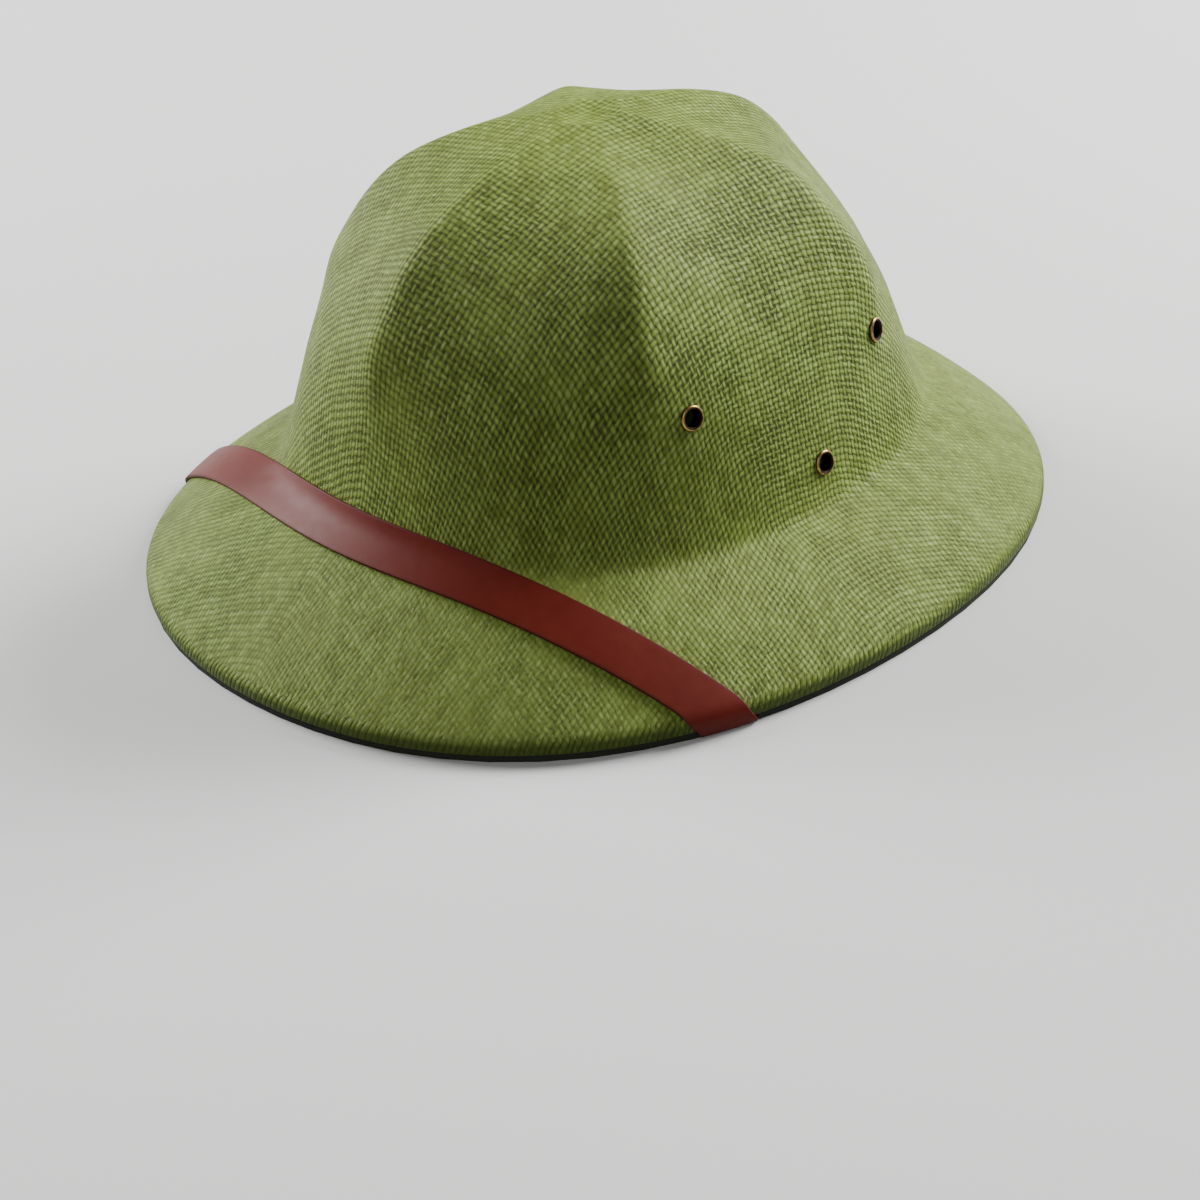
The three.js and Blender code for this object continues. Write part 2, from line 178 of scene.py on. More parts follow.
# Each light stands so far to the picture's right, away from the camera and up
LIGHTS = {
    "key": {"right": -1.25, "away": 0.7, "up": 0.8, "size": 0.9},
    "side": {"right": 1.2, "away": 0.66, "up": 0.92, "size": 0.8},
    "top": {"right": 0, "away": 0.8, "up": 1.5, "size": 1.0},
    "fill": {"right": 0, "away": -1.7, "up": 1.2, "size": 1.2},
}
AIM = Vector((0, 0, 0.06))
LENS = 109.94
SHIFT_X = 0.0053
SHIFT_Y = -0.1915
FLOOR_SIZE = 40
FLOOR_COLOUR = (0.86, 0.86, 0.85, 1)


class StrawSettings(bpy.types.PropertyGroup):
    """Sizes and colours of the woven straw"""
    warp_pitch: FloatProperty(
        name="Warp pitch", description="Distance between the yarns that run front to back",
        default=0.0023, unit="LENGTH")
    weft_pitch: FloatProperty(
        name="Weft pitch", description="Distance between the yarns that run side to side",
        default=0.0026, unit="LENGTH")
    wall: FloatProperty(
        name="Wall", description="Thickness of the straw wall", default=0.002, unit="LENGTH")
    relief: FloatProperty(
        name="Relief", description="Depth of the weave from yarn crest to gap",
        default=0.0006, unit="LENGTH")
    # The straw's own colour, lightened a little as a painted highlight where the yarns stand highest
    crest: FloatVectorProperty(
        name="Crest colour", description="Colour of the straw on top of its yarns",
        default=(0.275, 0.392, 0.054), subtype="COLOR")
    # Painted shade: a darker copy of the straw's colour, laid on the yarns' flanks and on the rim's face
    painted_shade: FloatVectorProperty(
        name="Flank colour", description="Colour of the straw down its yarns' sides",
        default=(0.06, 0.092, 0.014), subtype="COLOR")
    faded: FloatVectorProperty(
        name="Faded colour", description="Colour of the straw where its dye is thin",
        default=(0.29, 0.33, 0.06), subtype="COLOR")
    # Painted highlight: a pale colour laid on the glints at the crests of the yarns
    painted_glint: FloatVectorProperty(
        name="Worn colour", description="Colour of the straw where its yarns are rubbed",
        default=(0.55, 0.66, 0.18), subtype="COLOR")
    # Painted shade in the gaps between the yarns and between the ribs on the rim
    gap: FloatVectorProperty(
        name="Gap colour", description="Colour in the gaps between yarns",
        default=(0.021, 0.031, 0.005), subtype="COLOR")


class WeltSettings(bpy.types.PropertyGroup):
    """Finish of the welt under the rim"""
    colour: FloatVectorProperty(
        name="Colour", description="Colour of the welt's cloth",
        default=(0.018, 0.022, 0.011), subtype="COLOR")


class StrapSettings(bpy.types.PropertyGroup):
    """Finish of the leather strap"""
    edge_round: FloatProperty(
        name="Edge rounding", description="Radius of the strap's edges", default=0.00035, unit="LENGTH")
    colour: FloatVectorProperty(
        name="Colour", description="Colour of the leather's face",
        default=(0.16, 0.016, 0.008), subtype="COLOR")
    edge: FloatVectorProperty(
        name="Edge colour", description="Colour of the burnished edges",
        default=(0.045, 0.01, 0.006), subtype="COLOR")


class EyeletSettings(bpy.types.PropertyGroup):
    """Finish of the brass eyelets"""
    colour: FloatVectorProperty(
        name="Colour", description="Colour of the bare brass",
        default=(0.42, 0.28, 0.09), subtype="COLOR")
    tarnish: FloatVectorProperty(
        name="Tarnish", description="Colour of the tarnished brass",
        default=(0.022, 0.013, 0.007), subtype="COLOR")


class StageSettings(bpy.types.PropertyGroup):
    """Floor, lights and camera"""
    azimuth: FloatProperty(
        name="Camera turn", description="Angle of the camera around the hat",
        default=math.radians(46.26), subtype="ANGLE")
    elevation: FloatProperty(
        name="Camera height", description="Angle of the camera above the floor",
        default=math.radians(26.619), subtype="ANGLE")
    roll: FloatProperty(
        name="Camera roll", description="Lean of the camera about its own axis",
        default=math.radians(-2.867), subtype="ANGLE")
    distance: FloatProperty(
        name="Camera distance", description="Distance from the camera to the hat",
        default=1.3, unit="LENGTH")
    key: FloatProperty(
        name="Key light", description="Power of the light on the picture's left",
        default=36.0, unit="POWER")
    side: FloatProperty(
        name="Side light", description="Power of the light on the picture's right",
        default=49.0, unit="POWER")
    top: FloatProperty(
        name="Top light", description="Power of the light overhead", default=2.4, unit="POWER")
    fill: FloatProperty(
        name="Fill light", description="Power of the light behind the camera",
        default=9.5, unit="POWER")
    sky: FloatProperty(
        name="Ambient light", description="Strength of the light from all round",
        default=0.05, subtype="FACTOR")


class HelmetSettings(bpy.types.PropertyGroup):
    """All settings of the pith helmet"""
    straw: PointerProperty(type=StrawSettings)
    welt: PointerProperty(type=WeltSettings)
    strap: PointerProperty(type=StrapSettings)
    eyelet: PointerProperty(type=EyeletSettings)
    stage: PointerProperty(type=StageSettings)


def smooth_column(rows, output):
    """A smooth curve through one column of a table that never swings past its rows."""
    x = np.array([row["height"] for row in rows], float)
    y = np.array([row[output] for row in rows], float)
    span = np.diff(x)
    rise = np.diff(y) / span
    product = rise[:-1] * rise[1:]
    total = rise[:-1] + rise[1:]
    inner = np.divide(2 * product, total, out=np.zeros_like(total), where=product > 0)
    slope = np.concatenate([rise[:1], inner, rise[-1:]])

    def curve(at):
        i = np.clip(np.searchsorted(x, at, side="right") - 1, 0, len(x) - 2)
        s = (at - x[i]) / span[i]
        ends = y[i] * (2 * s**3 - 3 * s**2 + 1) + y[i + 1] * (3 * s**2 - 2 * s**3)
        slopes = slope[i] * (s**3 - 2 * s**2 + s) + slope[i + 1] * (s**3 - s**2)
        return ends + slopes * span[i]

    return curve


crown_reach = smooth_column(CROWN_LEVELS, "reach")
crown_fold = smooth_column(CROWN_LEVELS, "fold")


def oval(turn, width, length, squareness):
    """Points of an ellipse that swells a little towards its four corners."""
    swell = 1 + squareness * (1 - np.cos(4 * turn)) / 2
    x = width / 2 * np.sin(turn) * swell
    y = -length / 2 * np.cos(turn) * swell
    return np.stack([x, y, np.zeros_like(x)], -1)


def crown_foot(turn):
    """The line where the crown's wall would meet the brim without its fillet."""
    foot = oval(turn, FOOT_WIDTH, FOOT_LENGTH, CROWN_SQUARENESS)
    ahead = np.cos(turn)
    end = np.where(ahead > 0, FOOT_FRONT, FOOT_BACK)
    foot[..., 1] += CROWN_SETBACK
    foot[..., 2] = FOOT_SIDE + (end - FOOT_SIDE) * ahead**2
    return foot


def panel_reach(turn, fold):
    """How much of its reach the crown keeps between two ridges."""
    half = math.pi / RIDGE_COUNT
    phase = (turn + half) % (2 * half) - half
    rounded = np.hypot(phase, RIDGE_SOFTNESS) - RIDGE_CRISPNESS * RIDGE_SOFTNESS
    from_ridge = np.minimum(rounded, half)
    return 1 - fold * (1 - math.cos(half) / np.cos(half - from_ridge))


def crown_point(turn, height):
    """The crown's outer face. height is a share of the way from its foot to its top."""
    reach = crown_reach(height) * panel_reach(turn, crown_fold(height))
    squareness = CROWN_SQUARENESS * (1 - height)
    point = oval(turn, FOOT_WIDTH * reach, FOOT_LENGTH * reach, squareness)
    foot = crown_foot(turn)[..., 2]
    point[..., 1] += CROWN_SETBACK - CROWN_LEAN * height
    point[..., 2] = foot + (TOP - foot) * height
    return point


def top_point(turn, share):
    """The crown's cap, where the ridges meet in a shallow dimple."""
    centre = np.array([0, CROWN_SETBACK - CROWN_LEAN, TOP - TOP_DIMPLE])
    point = centre + (crown_point(turn, np.ones_like(turn)) - centre) * share
    point[..., 2] = centre[2] + TOP_DIMPLE * share**2
    return point


def rim_corner(turn):
    """The rim's sharp corner, before its shoulder is rounded."""
    corner = oval(turn, BRIM_WIDTH, BRIM_LENGTH, BRIM_SQUARENESS)
    corner[..., 2] = CORNER_LEVEL
    return corner


def brim_point(turn, share):
    """The brim's outer face, from the rim (share 0) to the crown's foot (share 1)."""
    share = np.asarray(share) + np.zeros_like(turn)
    corner = rim_corner(turn)
    point = corner + (crown_foot(turn) - corner) * share[..., None]
    point[..., 2] += BRIM_BULGE * 4 * share * (1 - share)
    return point


def rim_point(turn, inset, level):
    """A point in from the rim's edge by an inset, seen from above, at a level."""
    corner = rim_corner(turn)
    out = corner - crown_foot(turn)
    out[..., 2] = 0
    out /= np.linalg.norm(out, axis=-1, keepdims=True)
    point = corner - out * inset
    point[..., 2] = level
    return point


def bend(start, corner, end, share):
    """A point of the curve that leaves start and reaches end, pulled towards a corner."""
    return (1 - share) ** 2 * start + 2 * share * (1 - share) * corner + share**2 * end


def skin_rings(turn):
    """Rings of the straw's outer face, from the crown's centre down to the rim's shoulder."""
    foot = crown_foot(turn)
    run = np.linalg.norm(rim_corner(turn) - foot, axis=-1)
    fillet = FOOT_FILLET / run
    low = FOOT_FILLET / (TOP - foot[..., 2])
    start = brim_point(turn, 1 - fillet)
    end = crown_point(turn, low)
    rings = [top_point(turn, share) for share in np.linspace(0, 1, CAP_RINGS, endpoint=False)]
    for left in np.linspace(0, 1, CROWN_RINGS + 1):
        rings.append(crown_point(turn, low + (1 - low) * (1 - left**2)))
    for share in np.linspace(1, 0, FILLET_RINGS + 1)[1:]:
        rings.append(bend(start, foot, end, share))
    shoulder = SHOULDER_LENGTH / run
    for share in np.linspace(0, 1, BRIM_RINGS + 1)[1:]:
        rings.append(brim_point(turn, 1 - fillet + (shoulder - 1 + fillet) * share))
    return np.array(rings)


def rim_rings(turn):
    """Rings of the folded rim, over its shoulder, down its face and under it."""
    corner = rim_corner(turn)
    run = np.linalg.norm(corner - crown_foot(turn), axis=-1)
    start = brim_point(turn, SHOULDER_LENGTH / run)
    end = rim_point(turn, 0, FACE_TOP)
    rings = [bend(start, corner, end, share) for share in np.linspace(0, 1, SHOULDER_RINGS + 1)[1:]]
    for level in np.linspace(FACE_TOP, RIM_LEVEL + EDGE_ROUND, FACE_RINGS + 1)[1:]:
        rings.append(rim_point(turn, 0, level))
    start = rim_point(turn, 0, RIM_LEVEL + EDGE_ROUND)
    end = rim_point(turn, EDGE_ROUND, RIM_LEVEL)
    rings += [bend(start, rim_point(turn, 0, RIM_LEVEL), end, share) for share in (1 / 3, 2 / 3, 1)]
    rings += [rim_point(turn, inset, RIM_LEVEL) for inset in (HEM_WIDTH / 2, HEM_WIDTH)]
    return np.array(rings)


def run_lengths(rings):
    """How far each ring lies from the first one, measured over the rings."""
    steps = np.linalg.norm(np.diff(rings, axis=0), axis=-1)
    return np.concatenate([np.zeros((1,) + steps.shape[1:]), np.cumsum(steps, axis=0)])


def spread(turn, length):
    """The flat place of a point that lies a length down the hat from the crown's centre."""
    return np.stack([length * np.sin(turn), -length * np.cos(turn)], -1)


class HatSurface:
    """The hat's outer face, read by flat place. Past the rim it goes on down the brim's slope."""

    def __init__(self):
        turn = np.linspace(0, 2 * math.pi, TABLE_TURNS + 1)
        rings = list(skin_rings(turn))
        for share in np.linspace(0, -1, BRIM_RINGS):
            rings.append(brim_point(turn, share))
        rings = np.array(rings)
        lengths = run_lengths(rings)
        stations = np.arange(0, lengths[-1].min(), TABLE_STEP)
        self.last = len(stations) - 2
        self.table = np.empty((len(stations), len(turn), 3))
        for column in range(len(turn)):
            down = lengths[:, column]
            for axis in range(3):
                self.table[:, column, axis] = np.interp(stations, down, rings[:, column, axis])

    def at(self, flat):
        """The points of the face at flat places."""
        down = np.hypot(flat[..., 0], flat[..., 1]) / TABLE_STEP
        turn = np.arctan2(flat[..., 0], -flat[..., 1]) % (2 * math.pi)
        around = np.clip(turn / (2 * math.pi) * TABLE_TURNS, 0, TABLE_TURNS - 1e-9)
        i = np.minimum(down.astype(int), self.last)
        j = around.astype(int)
        s = (down - i)[..., None]
        t = (around - j)[..., None]
        upper = self.table[i, j] * (1 - t) + self.table[i, j + 1] * t
        lower = self.table[i + 1, j] * (1 - t) + self.table[i + 1, j + 1] * t
        return upper * (1 - s) + lower * s


def cell_steps(field):
    """How a field on a square grid changes across each of its cells, along X and along Y."""
    low_x, high_x, low_y, high_y = field[:-1, :-1], field[1:, 1:], field[:-1, 1:], field[1:, :-1]
    return (high_x - low_x + high_y - low_y) / 2, (high_x - low_x - high_y + low_y) / 2


def spread_back(along_x, along_y):
    """Adds up at each grid point what the cells around it ask for."""
    asked = np.zeros((along_x.shape[0] + 1, along_x.shape[1] + 1))
    asked[1:, 1:] += (along_x + along_y) / 2
    asked[:-1, :-1] -= (along_x + along_y) / 2
    asked[1:, :-1] += (along_x - along_y) / 2
    asked[:-1, 1:] -= (along_x - along_y) / 2
    return asked


def unevenness(field):
    """How far each grid point lies from the mean of its neighbours."""
    wide = np.pad(field, 1, mode="edge")
    return wide[2:, 1:-1] + wide[:-2, 1:-1] + wide[1:-1, 2:] + wide[1:-1, :-2] - 4 * field


def lay_yarns():
    """The yarns' distances from the hat's two middle lines, on a square grid of flat places.

    Cloth that is moulded over a block shears and its yarns keep their spacing. So each distance is
    eased, from its flat value, until it grows by one metre in a metre of the hat's face.
    """
    surface = HatSurface()
    half = round(YARN_REACH / YARN_GRID)
    line = np.arange(-half, half + 1) * YARN_GRID
    flat = np.stack(np.meshgrid(line, line, indexing="ij"), -1)
    middle = flat[:-1, :-1] + YARN_GRID / 2
    step = YARN_GRID / 4
    along_x = (surface.at(middle + (step, 0)) - surface.at(middle - (step, 0))) / (2 * step)
    along_y = (surface.at(middle + (0, step)) - surface.at(middle - (0, step))) / (2 * step)
    a = (along_x * along_x).sum(-1)
    b = (along_x * along_y).sum(-1)
    c = (along_y * along_y).sum(-1)
    det = np.maximum(a * c - b * b, YARN_FLATTEST)
    fields = []
    for axis in (0, 1):
        field = flat[..., axis] / YARN_GRID
        speed = np.zeros_like(field)
        for _ in range(YARN_PASSES):
            step_x, step_y = cell_steps(field)
            flow_x = (c * step_x - b * step_y) / det
            flow_y = (a * step_y - b * step_x) / det
            growth = np.sqrt(step_x * flow_x + step_y * flow_y)
            excess = np.sqrt(det) * (1 - 1 / growth)
            push = -spread_back(excess * flow_x, excess * flow_y) / 2
            push -= YARN_STIFFNESS * unevenness(unevenness(field))
            speed = YARN_MOMENTUM * speed + YARN_GAIN * push
            field = field + speed
        fields.append(field * YARN_GRID)
    return np.stack(fields, -1), half


def read_yarns(fields, half, flat):
    """The yarns' distances at flat places, between the points of their grid."""
    at = np.clip(flat / YARN_GRID + half, 0, 2 * half - 1e-6)
    i = at[..., 0].astype(int)
    j = at[..., 1].astype(int)
    s = (at[..., 0] - i)[..., None]
    t = (at[..., 1] - j)[..., None]
    near = fields[i, j] * (1 - s) + fields[i + 1, j] * s
    far = fields[i, j + 1] * (1 - s) + fields[i + 1, j + 1] * s
    return near * (1 - t) + far * t


def only(thing):
    """Leaves one object selected and active."""
    bpy.ops.object.select_all(action="DESELECT")
    thing.select_set(True)
    bpy.context.view_layer.objects.active = thing


def in_edit(thing, *steps):
    """Runs modelling steps on all of an object's mesh in edit mode."""
    only(thing)
    bpy.ops.object.mode_set(mode="EDIT")
    for step in steps:
        bpy.ops.mesh.select_all(action="SELECT")
        step()
    bpy.ops.object.mode_set(mode="OBJECT")


def merge(distance=MERGE):
    """An edit step that merges points which coincide."""
    bpy.ops.mesh.remove_doubles(threshold=distance)


def face_outwards():
    """An edit step that turns all faces of a closed mesh outwards."""
    bpy.ops.mesh.normals_make_consistent(inside=False)


def join_triangles():
    """An edit step that joins flat pairs of triangles."""
    flatness, squareness = math.radians(20), math.radians(60)
    bpy.ops.mesh.tris_convert_to_quads(face_threshold=flatness, shape_threshold=squareness)


def apply_modifier(thing, kind, **values):
    """Adds a modifier, sets it and applies it."""
    only(thing)
    modifier = thing.modifiers.new(kind.lower(), kind)
    for name, value in values.items():
        setattr(modifier, name, value)
    bpy.ops.object.modifier_apply(modifier=modifier.name)


def round_edges(piece, width, segments, corner):
    """Rounds the edges whose faces meet at more than a corner's angle."""
    apply_modifier(
        piece, "BEVEL", width=width, segments=segments, limit_method="ANGLE", angle_limit=corner)


def copy_of_node(node, name):
    """A merged copy of a CAD node under a name of its own."""
    bpy.ops.object.select_all(action="DESELECT")
    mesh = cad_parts[node].data.copy()
    piece = bpy.data.objects.new(name, mesh)
    bpy.context.scene.collection.objects.link(piece)
    mesh.name = name
    mesh.materials.clear()
    in_edit(piece, merge, join_triangles)
    return piece


def store(piece, title, values):
    """Keeps one value for each point of a mesh, for its material to read."""
    marks = piece.data.attributes.new(title, "FLOAT", "POINT")
    marks.data.foreach_set("value", np.asarray(values, np.float32).ravel())


def corner_values(piece, title):
    """One whole number for each corner of a mesh's faces."""
    values = np.empty(len(piece.data.loops), int)
    piece.data.loops.foreach_get(title, values)
    return values


def store_places(piece, layer, title, places):
    """Lays a UV map over a mesh from one place for each of its points."""
    places = places.reshape(-1, 2)[corner_values(piece, "vertex_index")]
    layer.name = title
    layer.data.foreach_set("uv", places.astype(np.float32).ravel())


def finish_piece(piece, material, slot, *nodes):
    """Gives a closed piece its material, hangs it under the root body and hides the CAD nodes that it stands
    for.
    """
    faces = np.bincount(corner_values(piece, "edge_index"), minlength=len(piece.data.edges))
    if (faces != 2).any():
        raise RuntimeError(f"The mesh of {piece.name} isn't closed")
    piece.data.materials.clear()
    piece.data.materials.append(material)
    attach(piece, "root")
    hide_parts(*nodes)


class Graph:
    """Short ways to place and join the nodes of one tree. Most of them return a node's output."""

    def __init__(self, tree):
        self.tree = tree

    def node(self, kind, **values):
        node = self.tree.nodes.new(kind)
        for name, value in values.items():
            setattr(node, name, value)
        return node

    def join(self, value, socket):
        """Links a socket, or gives it a fixed value."""
        if isinstance(value, bpy.types.NodeSocket):
            self.tree.links.new(value, socket)
        elif socket.type == "RGBA":
            socket.default_value = (*value, 1)
        else:
            socket.default_value = value

    def place(self):
        return self.node("ShaderNodeTexCoord").outputs["Object"]

    def stored(self, title):
        return self.node("ShaderNodeAttribute", attribute_name=title).outputs["Fac"]

    def uv(self, title):
        return self.node("ShaderNodeUVMap", uv_map=title).outputs[0]

    def split(self, vector):
        node = self.node("ShaderNodeSeparateXYZ")
        self.join(vector, node.inputs[0])
        return node.outputs

    def maths(self, operation, *values):
        node = self.node("ShaderNodeMath", operation=operation)
        for value, socket in zip(values, node.inputs):
            self.join(value, socket)
        return node.outputs[0]

    def sum(self, *values):
        return reduce(lambda total, value: self.maths("ADD", total, value), values)

    def times(self, *values):
        return reduce(lambda product, value: self.maths("MULTIPLY", product, value), values)

    def less(self, value, other):
        return self.maths("SUBTRACT", value, other)

    def weigh(self, base, *terms):
        """A base with more values added, each times its weight."""
        return self.sum(base, *[self.times(value, weight) for value, weight in terms])

    def stretch(self, value, low, high, to_low=0.0, to_high=1.0):
        """A smooth step of a value from low to high."""
        node = self.node("ShaderNodeMapRange", interpolation_type="SMOOTHSTEP")
        for given, socket in zip((value, low, high, to_low, to_high), node.inputs):
            self.join(given, socket)
        return node.outputs[0]

    def mix(self, share, first, second):
        """The first value at share 0 and the second at share 1."""
        return self.sum(self.times(share, second), self.times(self.less(1, share), first))

    def colours(self, share, first, second, blend="MIX"):
        """The first colour at share 0 and its blend with the second at share 1."""
        node = self.node("ShaderNodeMix", data_type="RGBA", blend_type=blend)
        for value, index in ((share, 0), (first, 6), (second, 7)):
            self.join(value, node.inputs[index])
        return node.outputs[2]

    def shaded(self, colour, red, green, blue):
        """A colour with each of its channels multiplied."""
        return self.colours(1.0, colour, self.combine(red, green, blue), "MULTIPLY")

    def combine(self, x, y, z=0.0):
        node = self.node("ShaderNodeCombineXYZ")
        for value, socket in zip((x, y, z), node.inputs):
            self.join(value, socket)
        return node.outputs[0]

    def noise(self, vector, scale, detail=2.0, roughness=0.5):
        node = self.node("ShaderNodeTexNoise")
        self.join(vector, node.inputs["Vector"])
        self.join(scale, node.inputs["Scale"])
        self.join(detail, node.inputs["Detail"])
        self.join(roughness, node.inputs["Roughness"])
        return node.outputs["Fac"]

    def random(self, vector):
        """A random value from 0 to 1 for each vector."""
        node = self.node("ShaderNodeTexWhiteNoise")
        self.join(vector, node.inputs["Vector"])
        return node.outputs["Value"]

    def round_over(self, across):
        """The height of a round yarn across its width, from -1 to 1."""
        return self.maths("SQRT", self.maths("MAXIMUM", self.less(1, self.times(across, across)), 0))


def new_group(name, vectors, values, outputs):
    """An empty shader group with named vectors and values going in and values coming out."""
    tree = bpy.data.node_groups.new(name, "ShaderNodeTree")
    rows = [(title, "INPUT", "NodeSocketVector") for title in vectors]
    rows += [(title, "INPUT", "NodeSocketFloat") for title in values]
    rows += [(title, "OUTPUT", "NodeSocketFloat") for title in outputs]
    for title, way, kind in rows:
        tree.interface.new_socket(title, in_out=way, socket_type=kind)
    graph = Graph(tree)
    return graph, graph.node("NodeGroupInput").outputs, graph.node("NodeGroupOutput").inputs


def weave_group():
    """Plain weave of flattened yarns, at places that are counted in yarns."""
    graph, given, out = new_group(
        "Plain weave", ["Yarns"], ["Waviness", "Yarn width", "Crimp", "Slubs"],
        ["Height", "Gap", "Tone", "Streak", "Cloud", "Glint"])
    places = swayed_places(graph, given["Yarns"], given["Waviness"])
    numbers = [graph.maths("ROUND", place) for place in places]
    tightness = graph.noise(graph.combine(*places), scale=0.075)
    cloud = graph.noise(graph.combine(*places), scale=0.24, detail=4.0, roughness=0.65)
    warp, weft = [yarn_set(graph, given, places, numbers, tightness, axis) for axis in (0, 1)]
    over = graph.maths("GREATER_THAN", warp["height"], weft["height"])
    height = graph.maths("SMOOTH_MAX", warp["height"], weft["height"], YARN_BLEND)
    cover = graph.maths("MAXIMUM", warp["cover"], weft["cover"])
    # Gap is painted shade in the holes between the yarns, deeper at some holes than others, chosen at random
    corner = graph.combine(*[graph.maths("FLOOR", place) for place in places])
    depth = graph.weigh(0.1, (graph.random(corner), 0.6))
    # Glint marks painted highlights on the crests of some floats, chosen at random
    luck = graph.random(graph.combine(*numbers, GLINT_SEED))
    graph.join(cloud, out["Cloud"])
    graph.join(height, out["Height"])
    graph.join(graph.times(graph.stretch(cover, 0.0, 0.9, 1.0, 0.0), depth), out["Gap"])
    graph.join(graph.times(graph.mix(over, weft["glint"], warp["glint"]), luck, luck), out["Glint"])
    graph.join(graph.mix(over, weft["tone"], warp["tone"]), out["Tone"])
    graph.join(graph.stretch(graph.mix(over, weft["streak"], warp["streak"]), 0.3, 0.7), out["Streak"])
    return graph.tree


def yarn_set(graph, given, places, numbers, tightness, axis):
    """The yarns that run one way: their height, what they cover, and how each one looks."""
    along = places[1 - axis]
    number = numbers[axis]
    aside = graph.less(places[axis], number)
    row = graph.combine(graph.times(number, YARN_STRIDE), graph.times(along, 0.31), GRAIN_STRIDE * axis)
    slub = graph.noise(row, scale=1.0, detail=3.0)
    uneven = graph.weigh(graph.less(slub, 0.5), (graph.less(tightness, 0.5), 1.6))
    width = graph.times(given["Yarn width"], graph.weigh(1, (uneven, given["Slubs"])))
    cover = graph.round_over(graph.maths("DIVIDE", aside, width))
    phase = graph.times(graph.sum(along, number), math.pi)
    rise = graph.times(graph.maths("COSINE", phase), 1 - 2 * axis)
    height = graph.times(cover, graph.sum(graph.times(rise, given["Crimp"]), 0.6))
    # Where a painted highlight may sit: the top of each float's crest
    glint = graph.times(graph.stretch(rise, 0.3, 1.0), graph.stretch(cover, 0.7, 1.0))
    yarn_tone = graph.random(graph.combine(number, AXIS_STRIDE * axis, YARN_SEED))
    float_tone = graph.random(graph.combine(*numbers, FLOAT_SEED + axis))
    tone = graph.sum(graph.times(yarn_tone, 0.4), graph.times(float_tone, 0.6))
    side = graph.sum(graph.times(aside, 5), graph.times(number, GRAIN_STRIDE))
    grain = graph.combine(side, graph.times(along, 0.6), axis)
    streak = graph.noise(grain, scale=1.6, detail=4.0, roughness=0.65)
    return {"height": height, "cover": cover, "glint": glint, "tone": tone, "streak": streak}


def swayed_places(graph, yarns, waviness):
    """The two places in yarns, each swayed a little, so that no yarn runs quite straight."""
    places = list(graph.split(yarns))[:2]
    for scale, share in ((0.31, 1), (0.045, 5)):
        sway = graph.node("ShaderNodeTexNoise")
        graph.join(yarns, sway.inputs["Vector"])
        graph.join(scale, sway.inputs["Scale"])
        parts = graph.node("ShaderNodeSeparateColor")
        graph.join(sway.outputs["Color"], parts.inputs[0])
        for axis in (0, 1):
            shift = graph.times(graph.less(parts.outputs[axis], 0.5), waviness, share)
            places[axis] = graph.sum(places[axis], shift)
    return places


def rim_group():
    """Short yarns that wrap over the rim's fold. Rim is the way along and down the rim in metres."""
    graph, given, out = new_group("Rim ribs", ["Rim"], [], ["Height", "Gap"])
    along, down, _ = graph.split(given["Rim"])
    wander = graph.noise(graph.combine(graph.times(along, 170), 0.0, 2.0), scale=1.0, detail=3.0)
    place = graph.maths("DIVIDE", graph.weigh(along, (down, RIB_LEAN)), RIB_PITCH)
    place = graph.weigh(place, (wander, 1.6))
    number = graph.maths("ROUND", place)
    cover = graph.round_over(graph.times(graph.less(place, number), 2.1))
    length = graph.random(graph.combine(number, 4.0, 9.0))
    graph.join(graph.times(cover, graph.weigh(0.55, (length, 0.45))), out["Height"])
    # Gap is painted shade between the ribs
    graph.join(graph.times(graph.stretch(cover, 0.0, 0.7, 1.0, 0.0), 0.4), out["Gap"])
    return graph.tree


def mottle_group():
    """Soft uneven patches over a surface, as dye, wear and handling leave them."""
    graph, given, out = new_group("Mottle", [], ["Scale", "Contrast"], ["Patches"])
    broad = graph.noise(graph.place(), given["Scale"], detail=3.0, roughness=0.55)
    graph.join(graph.weigh(0.5, (graph.less(broad, 0.5), given["Contrast"])), out["Patches"])
    return graph.tree


def shared(name):
    """A shader group that materials share, built the first time it is asked for."""
    makers = {"Plain weave": weave_group, "Rim ribs": rim_group, "Mottle": mottle_group}
    return bpy.data.node_groups.get(name) or makers[name]()


def new_material(name):
    """A material with one Principled BSDF, and the graph to fill it."""
    material = bpy.data.materials.new(name)
    material.use_nodes = True
    graph = Graph(material.node_tree)
    return material, graph, material.node_tree.nodes["Principled BSDF"].inputs


def use_group(graph, name, **values):
    """Places a shared group in a material and sets its inputs."""
    node = graph.node("ShaderNodeGroup", node_tree=shared(name))
    for title, value in values.items():
        graph.join(value, node.inputs[title.replace("_", " ")])
    return node.outputs


def raise_surface(graph, surface, height, distance, strength):
    """Gives a surface a bump from a height."""
    bump = graph.node("ShaderNodeBump")
    graph.join(height, bump.inputs["Height"])
    graph.join(distance, bump.inputs["Distance"])
    graph.join(strength, bump.inputs["Strength"])
    graph.join(bump.outputs[0], surface["Normal"])


